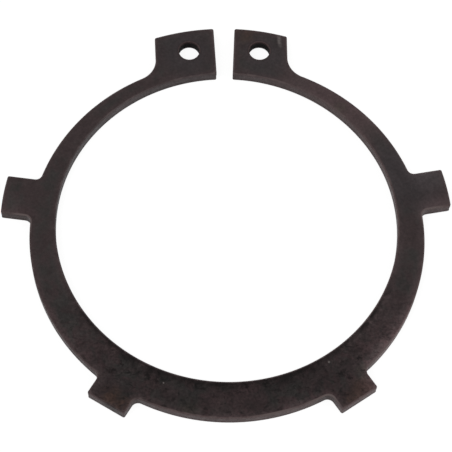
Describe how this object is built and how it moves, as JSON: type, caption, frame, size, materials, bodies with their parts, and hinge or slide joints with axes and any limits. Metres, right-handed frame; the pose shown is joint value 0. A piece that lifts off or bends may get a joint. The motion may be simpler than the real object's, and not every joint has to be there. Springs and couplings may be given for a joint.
{
  "type": "circlip retaining ring",
  "caption": "Flat open spring-steel retaining ring for a shaft groove, with drilled lugs at its gap and locating tabs round its rim.",
  "frame": {"origin": "the bore axis at the plane of the lower face, which is the burr side of the blank", "axes": "+Z along the bore axis out of the upper face, +Y along the middle line of the ring and its tabs, 0.9 degrees from the middle of the gap, +X to the right-hand side"},
  "size_m": [0.0736, 0.0709, 0.002],
  "materials": {
    "phosphated_steel": "dark phosphated and oiled spring steel, semi-matt"
  },
  "bodies": {
    "root": {"retaining_ring": "phosphated_steel"}
  },
  "joints": []
}
